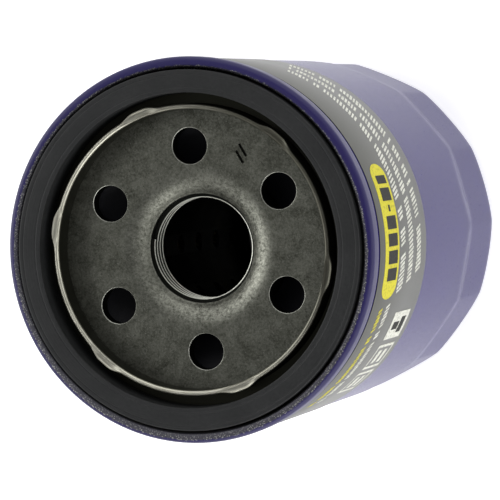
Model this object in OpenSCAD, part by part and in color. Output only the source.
// Spin-on oil filter: a painted steel can closed by a double-seamed lid and a threaded plate,
// with a gasket, an anti-drainback diaphragm, a pleated element and a sprung bypass valve inside.
// Origin: on the axis, on the plane that the closed end stands on. +Z runs out of the threaded hole.

/* [Can] */
// Outside diameter of the can's straight wall
can_d = 76; // [75:0.5:77]
// Height from the standing plane to the top of the rolled seam
can_h = 105.5; // [100:0.5:130]
// Thickness of the can's drawn sheet
can_t = 0.4; // [0.35:0.01:0.4]
// Radius of the corner round the closed end
corner_r = 9; // [7:0.5:10]

/* [Wrench zone] */
// Number of wrench flats round the closed end
flat_count = 14; // [12:1:16]
// Distance across two opposite wrench flats
across_flats = 74.3; // [74:0.1:75]
// Height of the flats above the standing plane
flats_h = 26; // [20:1:30]

/* [Lid and seam] */
// Thickness of the pressed lid that holds the gasket
lid_t = 0.42; // [0.38:0.01:0.42]
// Depth from the seam's top to the plate's face
recess = 6.2; // [6:0.1:7]
// Outside diameter of the rolled seam
seam_d = 76.8; // [76.8:0.1:77.4]
// Middle radius of the lid's inner bead
bead_r = 28.5; // [28.3:0.05:28.7]
// Number of crimps in the lid's inner bead
crimp_count = 6; // [3:1:8]
// Angle of the first crimp
crimp_turn = 48; // [0:1:59]

/* [Base plate] */
// Radius of the thread's crests (M22 x 1.5)
thread_r = 10.19; // [9:0.01:10.5]
// Length of the threaded collar, from the plate's face
collar_len = 9; // [7:0.5:9.5]
// Thickness of the plate
plate_t = 3.2; // [2.8:0.1:3.4]
// Number of inlet holes
inlet_count = 6; // [4:1:8]
// Diameter of the circle that the inlet holes lie on
inlet_pcd = 41.3; // [40:0.1:42]
// Diameter of one inlet hole
inlet_d = 7.3; // [6:0.1:7.5]
// Angle of the first inlet hole
inlet_turn = 31.3; // [0:0.1:59]

/* [Gasket] */
// Inside diameter of the sealing gasket
gasket_id = 62.5; // [62.3:0.1:63]
// Outside diameter of the sealing gasket
gasket_od = 71.6; // [70:0.1:71.8]
// Height of the gasket above the seam
gasket_proud = 0.9; // [0.4:0.1:1.5]

/* [Element] */
// Number of pleats in the filter paper
pleat_count = 50; // [36:2:52]
// Thickness of the filter paper
paper_t = 0.5; // [0.4:0.05:0.5]
// Rows of holes along the centre tube
tube_rows = 6; // [3:1:8]
// Holes round the centre tube
tube_columns = 8; // [4:1:10]

/* [Valves] */
// Radius of the bypass opening
bypass_r = 7; // [5:0.5:7.5]
// How far the diaphragm's lip lifts off the plate
lip_travel = 1.5; // [0.8:0.1:1.5]
// How far the bypass poppet lifts off its seat
poppet_travel = 3; // [1:0.1:3]

/* [Hidden] */
$fn = 96;
eps = 0.01;          // overrun of a cut past the face it opens
gap = 0.035;         // rolled clearance between neighbouring sheets in the seam
arc_steps = 6;       // chords in each small round of a sheet's outline

// Can
can_r = can_d / 2;
dish_h = 1.2;        // depth of the recess in the closed end
dish_r = 17;         // radius of the recess's flat centre
stand_r = 20;        // inner radius of the ring that the can stands on
flat_slope = 4;      // height over which a flat fades into the round wall

// Seam, worked from the outside in
seam_r = seam_d / 2;
seam_low = 4;        // height of the rolled seam
hook_out = seam_r - lid_t - gap;             // outer face of the can's turned-down flange
hook_in = hook_out - can_t;
cover_out = hook_in - gap;                   // outer face of the lid's turned-up hook
cover_in = cover_out - lid_t;
neck_r = cover_in - gap;                     // outer face of the can's neck
chuck_out = neck_r - can_t - gap;            // outer face of the lid's wall round the gasket
chuck_r = chuck_out - lid_t / 2;
crown_r = (seam_r - lid_t / 2 - chuck_r) / 2;
crown_z = can_h - lid_t / 2 - crown_r;       // centre of the seam's rounded top
flange_z = crown_z - 1.9;                    // lower edge of the can's turned-down flange
curl_r = (seam_r - cover_out) / 2;           // middle radius of the curl under the seam
curl_z = can_h - seam_low + lid_t / 2 + curl_r;
neck_z = can_h - seam_low - 0.2;             // where the neck starts to widen
neck_drop = 1.2;                             // height of the widening below the neck
label_top = neck_z - neck_drop;

// Lid
plate_z = can_h - recess;                    // face of the base plate
groove_z = plate_z + lid_t / 2;              // middle of the groove's floor sheet
bead_rise = 5.2;                             // height of the bead's crest above the plate
bead_round = 0.29;                           // middle radius of the bead's round
bead_z = plate_z + bead_rise - lid_t / 2 - bead_round;
crimp_tube = 0.42;                           // half the thickness of a crimp's wall
crimp_bend = 4;                              // radius of that wall's own bend
crimp_reach = 1.15;                          // how far a crimp stands out past the bead's middle
crimp_sweep = 34;                            // angle of the bend to each side

// Plate
plate_r = chuck_r - 0.9;
plate_low = plate_z - plate_t;
collar_z = plate_z - collar_len;
collar_r = 13.4;
draw_r = 6;                                  // radius of the draw from the plate's face to its bore
draw_depth = 2.4;
thread_bevel = 0.7;                          // bevel at the start of the thread

// Gasket
gasket_z = groove_z + lid_t / 2;
gasket_top = can_h + gasket_proud;

// Element
cap_t = 0.4;
cap_top = collar_z - 1.3;                    // upper face of the top end cap
cap_r = 34.2;
cap_skirt = 4.6;
tube_r = 15.2;
tube_t = 0.5;
tube_hole_r = 2;
foot_z = 14.5;                               // lower face of the bottom end cap
potting_t = 3.3;
paper_top = cap_top - cap_t - potting_t;
paper_low = foot_z + cap_t + potting_t;
root_r = 16;
tip_r = 33;
fold_half = 0.42;                            // half width of a fold's blunt end

// Diaphragm
hub_in = collar_r + 0.15;
hub_out = 16.2;
lip_in = hub_out + 0.3;
lip_out = 30;
lip_t = 1.2;
lip_top = plate_low - 0.1;
lip_room = 0.4;                              // clearance above the end cap when the lip is down
lip_drop = lip_top - lip_t - lip_travel - lip_room - cap_top;   // height of the lip's cone

// Bypass valve
seat_t = 0.5;
seat_z = foot_z + cap_t;                     // lower face of the seat's flange
seat_out = tube_r - tube_t - 0.3;
seat_rise = 1.8;                             // height of the seat's upturned edge
seal_t = 1;
seal_z = seat_z + seat_rise;
poppet_r = 9.6;
poppet_t = 1;
stem_r = 2;
disc_z = seal_z + seal_t;
spring_low = disc_z + poppet_t;
bridge_r = 13.2;
bridge_t = 0.5;
stem_fit = 0.05;                             // running clearance round the stem
bypass_coils = 7;
bypass_wire = 0.45;                          // radius of the bypass spring's wire
bypass_coil_r = 5;
bypass_solid = 2 * bypass_wire * bypass_coils;
bridge_z = spring_low + bypass_solid + poppet_travel + 2;      // underside of the bridge's top

// Hold-down spring
cup_t = 0.5;
cup_top = foot_z - 0.03;
cup_r = 25.2;
cup_rim = 3;
hold_wire = 1.1;                             // radius of the hold-down spring's wire
hold_coil_r = 22.2;
hold_coils = 4;

// Points along an arc, both ends included
function arc(x, y, r, from, to, steps = arc_steps) =
    [for (i = [0:steps]) let (a = from + (to - from) * i / steps) [x + r * cos(a), y + r * sin(a)]];

// A list of points the other way round
function flip(p) = [for (i = [len(p) - 1:-1:0]) p[i]];

// The unit normal to the left of the line from a to b
function left_of(a, b) = let (d = b - a) [-d[1], d[0]] / norm(d);

// The offset direction at point i of an open path, lengthened at a corner to keep the sheet's thickness
function mitre(p, i) =
    let (last = len(p) - 1)
    let (before = left_of(p[max(i - 1, 0)], p[max(i, 1)]))
    let (after = left_of(p[min(i, last - 1)], p[min(i + 1, last)]))
    let (middle = before + after)
    2 * middle / (middle * middle);

// The outline of a sheet of thickness t that follows an open path
function sheet(p, t) = concat(
    [for (i = [0:len(p) - 1]) p[i] + mitre(p, i) * t / 2],
    flip([for (i = [0:len(p) - 1]) p[i] - mitre(p, i) * t / 2]));

// Points of a tube of radius wire along a path of rings, and its faces
function ring_points(centre, out, wire, sides) =
    [for (k = [0:sides - 1]) let (a = 360 * k / sides) centre + wire * (out * cos(a) + [0, 0, 1] * sin(a))];

// A coil spring whose first and last quarter turns lie flat
module coil(radius, wire, low, high, turns, steps, sides) {
    rings = turns * steps;
    rise = high - low - 2 * wire;
    function climb(turn) = min(max((turn - 0.25) / (turns - 0.5), 0), 1);
    points = [for (i = [0:rings])
        let (turn = i / steps, out = [cos(360 * turn), sin(360 * turn), 0])
        each ring_points(radius * out + [0, 0, low + wire + rise * climb(turn)], out, wire, sides)];
    walls = [for (i = [0:rings - 1], k = [0:sides - 1])
        let (next = (k + 1) % sides)
        [i * sides + k, i * sides + next, (i + 1) * sides + next, (i + 1) * sides + k]];
    ends = [[for (k = [sides - 1:-1:0]) k], [for (k = [0:sides - 1]) rings * sides + k]];
    polyhedron(points, concat(walls, ends), convexity = 2 * turns);
}

// A washer or a short tube between two radii and two heights
module ring(inner, outer, low, high) {
    rotate_extrude() translate([inner, low]) square([outer - inner, high - low]);
}

// ---- can -------------------------------------------------------------------

// One side of the can's wall, from the axis at the closed end to the seam; inset 0 is the outside
function can_side(inset) = concat(
    [[0, dish_h + inset], [dish_r, dish_h + inset], [stand_r, inset]],
    arc(can_r - corner_r, corner_r, corner_r - inset, 270, 360, 10),
    [for (i = [0:arc_steps])
        let (part = i / arc_steps, shrink = (can_r - neck_r) * (1 - cos(180 * part)) / 2)
        [can_r - inset - shrink, neck_z - neck_drop * (1 - part)]],
    [[neck_r - inset, crown_z]]);

// The turned-down flange at the can's mouth, from its inner round to the outside of the wall
function can_flange() = concat(
    arc((neck_r + hook_in) / 2, crown_z, (hook_in - neck_r) / 2, 180, 0),
    [[hook_in, flange_z], [hook_out, flange_z]],
    arc((neck_r + hook_in) / 2, crown_z, (hook_in - neck_r) / 2 + can_t, 0, 180));

// Everything outside the wrench flats, fading into the wall at the top; inset moves the flats inward
module flats_cut(inset) {
    face = across_flats / 2 - inset;
    for (k = [0:flat_count - 1])
        rotate(360 * (k + 0.5) / flat_count)
            rotate([90, 0, 0]) linear_extrude(height = can_d, center = true)
                polygon([[face, -1], [can_d, -1], [can_d, flats_h + flat_slope * 3],
                         [face + 1.5, flats_h + flat_slope], [face, flats_h]]);
}

module can() {
    color("#4a3f8f") difference() {
        difference() {
            rotate_extrude() polygon(concat(can_side(0), can_flange(), [[0, crown_z]]));
            flats_cut(0);
        }
        difference() {
            rotate_extrude() polygon(concat(can_side(can_t), [[neck_r - can_t, can_h], [0, can_h]]));
            flats_cut(can_t);
        }
    }
}

// ---- lid, seam and gasket --------------------------------------------------

// The middle of the lid's sheet, from its inner free edge to the tip of its cover hook
function lid_path() = concat(
    [[bead_r - bead_round, plate_z + 0.05]],
    arc(bead_r, bead_z, bead_round, 180, 0, 10),
    arc(bead_r + bead_round + 0.4, groove_z + 0.4, 0.4, 180, 270, 3),
    arc(chuck_r - 0.5, groove_z + 0.5, 0.5, 270, 360, 4),
    arc(chuck_r + crown_r, crown_z, crown_r, 180, 0, 10),
    arc(seam_r - lid_t / 2 - curl_r, curl_z, curl_r, 0, -180),
    [[cover_in + lid_t / 2, crown_z - 0.4]]);

// Walls that stand out from the bead where it is staked towards the gasket
module crimps() {
    for (k = [0:crimp_count - 1])
        rotate(crimp_turn + 360 * k / crimp_count)
            translate([bead_r + crimp_reach - crimp_tube - crimp_bend, 0, 0])
                rotate(-crimp_sweep) rotate_extrude(angle = 2 * crimp_sweep)
                    polygon(concat(
                        arc(crimp_bend, bead_z, crimp_tube, 180, 0, 12),
                        [[crimp_bend + crimp_tube, groove_z], [crimp_bend - crimp_tube, groove_z]]));
}

module gasket_retainer() {
    color("#8f8f8a") union() {
        rotate_extrude() polygon(sheet(lid_path(), lid_t));
        crimps();
    }
}

// The compound fills the seam's only pocket, between the can's flange and the lid's curl
module seam_compound() {
    color("#6b3f2a") ring(cover_out + gap, hook_out, curl_z, flange_z - 0.05);
}

module sealing_gasket() {
    inner = gasket_id / 2;
    outer = gasket_od / 2;
    bevel = 0.35;
    color("#26282c") rotate_extrude() polygon([
        [inner, gasket_z], [outer, gasket_z], [outer, gasket_top - bevel],
        [outer - bevel, gasket_top], [inner + bevel, gasket_top], [inner, gasket_top - bevel]]);
}

module label_band() {
    lift = 0.02;
    film = 0.12;
    width = 34.5;
    color("#6f7165") ring(can_r + lift, can_r + lift + film, label_top - width, label_top);
}

// ---- base plate ------------------------------------------------------------

module base_plate() {
    rise = draw_r - draw_depth;
    run = sqrt(draw_r * draw_r - rise * rise);
    mouth_r = thread_r + thread_bevel;
    color("#55564f") difference() {
        rotate_extrude() polygon(concat(
            [[thread_r, plate_z - draw_depth - thread_bevel]],
            arc(mouth_r + run, plate_z - draw_r, draw_r, 180 - asin(rise / draw_r), 90),
            [[plate_r, plate_z], [plate_r, plate_low + 0.6], [plate_r - 0.6, plate_low]],
            arc(collar_r + 1, plate_low - 1, 1, 90, 180),
            [[collar_r, collar_z], [thread_r + 0.5, collar_z], [thread_r, collar_z + 0.5]]));
        for (k = [0:inlet_count - 1])
            rotate(inlet_turn + 360 * k / inlet_count)
                translate([inlet_pcd / 2, 0, plate_low - 1]) cylinder(d = inlet_d, h = plate_t + 2);
    }
}

// ---- anti-drainback diaphragm ----------------------------------------------

module drainback_hub() {
    bevel = 1.3;     // clears the round at the collar's root
    top = plate_low - 0.05;
    color("#15171f") rotate_extrude() polygon([
        [hub_in, cap_top], [hub_out, cap_top], [hub_out, top], [hub_in + bevel, top], [hub_in, top - bevel]]);
}

module drainback_lip() {
    rim = lip_out - 1.5;
    color("#15171f") rotate_extrude() polygon([
        [lip_in, lip_top - lip_drop], [rim, lip_top], [lip_out, lip_top],
        [lip_out, lip_top - 0.8], [rim, lip_top - lip_t], [lip_in, lip_top - lip_drop - lip_t]]);
}

// ---- filter element --------------------------------------------------------

// A pressed cap: neck round the centre tube, flat, and skirt round the pleats, opening downward
module end_cap(neck, neck_depth, skirt, skirt_depth) {
    round_r = 0.6;
    middle = cap_t / 2;
    rotate_extrude() polygon(sheet(concat(
        [[neck + middle, -neck_depth]],
        arc(neck + middle + round_r, -middle - round_r, round_r, 180, 90, 3),
        arc(skirt - middle - round_r, -middle - round_r, round_r, 90, 0, 3),
        [[skirt - middle, -skirt_depth]]), cap_t));
}

module top_end_cap() {
    color("#b9a35c") translate([0, 0, cap_top]) end_cap(tube_r - tube_t - 0.55, 5, cap_r, cap_skirt);
}

module bottom_end_cap() {
    neck = bypass_r + 2.8;
    color("#b9a35c") translate([0, 0, foot_z]) mirror([0, 0, 1]) end_cap(neck, 1.2, cap_r, cap_skirt);
}

// Potting that fills a cap, bevelled to clear the round inside its skirt
module potting() {
    bevel = 0.45;
    inner = tube_r + 0.05;
    outer = cap_r - cap_t - 0.05;
    low = -cap_t - potting_t;
    rotate_extrude() polygon([
        [inner, low], [outer, low], [outer, -cap_t - bevel], [outer - bevel, -cap_t], [inner, -cap_t]]);
}

module top_potting() {
    color("#a8452f") translate([0, 0, cap_top]) potting();
}

module bottom_potting() {
    color("#a8452f") translate([0, 0, foot_z]) mirror([0, 0, 1]) potting();
}

// One corner of the paper's path, at a radius and an angle
function polar(r, a) = [r * cos(a), r * sin(a)];

// The paper's middle line seen from above: it starts and ends at the two free legs under the clip
function pleat_path() =
    let (step = 360 / pleat_count)
    let (tip = atan(fold_half / tip_r), root = atan(fold_half / root_r))
    [for (k = [0:pleat_count - 1])
        each [polar(tip_r, k * step + tip), polar(root_r, (k + 0.5) * step - root),
              polar(root_r, (k + 0.5) * step + root), polar(tip_r, (k + 1) * step - tip)]];

module filter_media() {
    color("#d9c48a") translate([0, 0, paper_low]) linear_extrude(height = paper_top - paper_low)
        polygon(sheet(pleat_path(), paper_t));
}

module media_clip() {
    half = fold_half + paper_t / 2 + 0.25;
    leg = 6;
    clip_t = 0.3;
    outer = tip_r + paper_t + 0.05;
    color("#a9adb2") translate([0, 0, paper_low + 0.1])
        linear_extrude(height = paper_top - paper_low - 0.2)
            polygon(sheet([[outer - leg, half], [outer, half], [outer, -half], [outer - leg, -half]], clip_t));
}

module centre_tube() {
    low = foot_z + cap_t + 0.05;
    high = cap_top - cap_t - 0.1;
    row_step = (paper_top - paper_low) / tube_rows;
    color("#9a9b96") difference() {
        ring(tube_r - tube_t, tube_r, low, high);
        for (row = [0:tube_rows - 1], column = [0:tube_columns - 1])
            translate([0, 0, paper_low + row_step * (row + 0.5)])
                rotate([0, 90, 360 * column / tube_columns])
                    translate([0, 0, tube_r - tube_t - 1]) cylinder(r = tube_hole_r, h = tube_t + 2);
    }
}

// ---- bypass valve ----------------------------------------------------------

module bypass_seat() {
    step_r = bypass_r + 1.3;
    color("#a3a49c") rotate_extrude() polygon(sheet([
        [bypass_r + seat_t / 2, seal_z], [bypass_r + seat_t / 2, seat_z - 0.1],
        [step_r, seat_z - 0.1], [step_r + 1.6, seat_z + seat_t + 1],
        [seat_out - 1.8, seat_z + seat_t / 2], [seat_out, seat_z + seat_t / 2]], seat_t));
}

module poppet_seal() {
    color("#1b1b1d") ring(bypass_r - 1.2, bypass_r + 2, seal_z, disc_z);
}

module bypass_poppet() {
    color("#d8d4c6") rotate_extrude() polygon([
        [0, disc_z], [poppet_r, disc_z], [poppet_r, spring_low], [stem_r, spring_low],
        [stem_r, bridge_z + 3.6], [stem_r - 0.6, bridge_z + 4.2], [0, bridge_z + 4.2]]);
}

module bypass_spring() {
    color("#c3c6c9") coil(bypass_coil_r, bypass_wire, spring_low, bridge_z, bypass_coils, 16, 6);
}

module bypass_bridge() {
    foot = seat_z + seat_t + 0.05;
    window = [2 * bridge_r + 2, 10, 7.5];
    color("#8c8d88") difference() {
        rotate_extrude() polygon([
            [bridge_r - bridge_t, foot], [bridge_r + 0.9, foot], [bridge_r + 0.9, foot + bridge_t],
            [bridge_r, foot + bridge_t], [bridge_r, bridge_z], [bridge_r - bridge_t, bridge_z + bridge_t],
            [stem_r + stem_fit, bridge_z + bridge_t], [stem_r + stem_fit, bridge_z],
            [bridge_r - bridge_t, bridge_z]]);
        for (turn = [0, 90])
            rotate(turn) translate([-window[0] / 2, -window[1] / 2, foot + 3.5]) cube(window);
    }
}

// ---- hold-down spring ------------------------------------------------------

module spring_cup() {
    flow_r = 2.5;
    color("#96978f") difference() {
        rotate_extrude() polygon(sheet([
            [bypass_r + 2.4, cup_top - cup_t / 2], [cup_r - cup_t / 2, cup_top - cup_t / 2],
            [cup_r - cup_t / 2, cup_top - cup_rim]], cup_t));
        for (k = [0:5])
            rotate(60 * k) translate([15, 0, cup_top - 2 * cup_t]) cylinder(r = flow_r, h = 3 * cup_t);
    }
}

module hold_down_spring() {
    color("#7d8086") coil(hold_coil_r, hold_wire, can_t + eps, cup_top - cup_t, hold_coils, 24, 8);
}

can();
gasket_retainer();
base_plate();
sealing_gasket();
label_band();
seam_compound();
drainback_hub();
drainback_lip();
top_end_cap();
top_potting();
filter_media();
media_clip();
centre_tube();
bottom_potting();
bottom_end_cap();
bypass_seat();
poppet_seal();
bypass_poppet();
bypass_spring();
bypass_bridge();
spring_cup();
hold_down_spring();
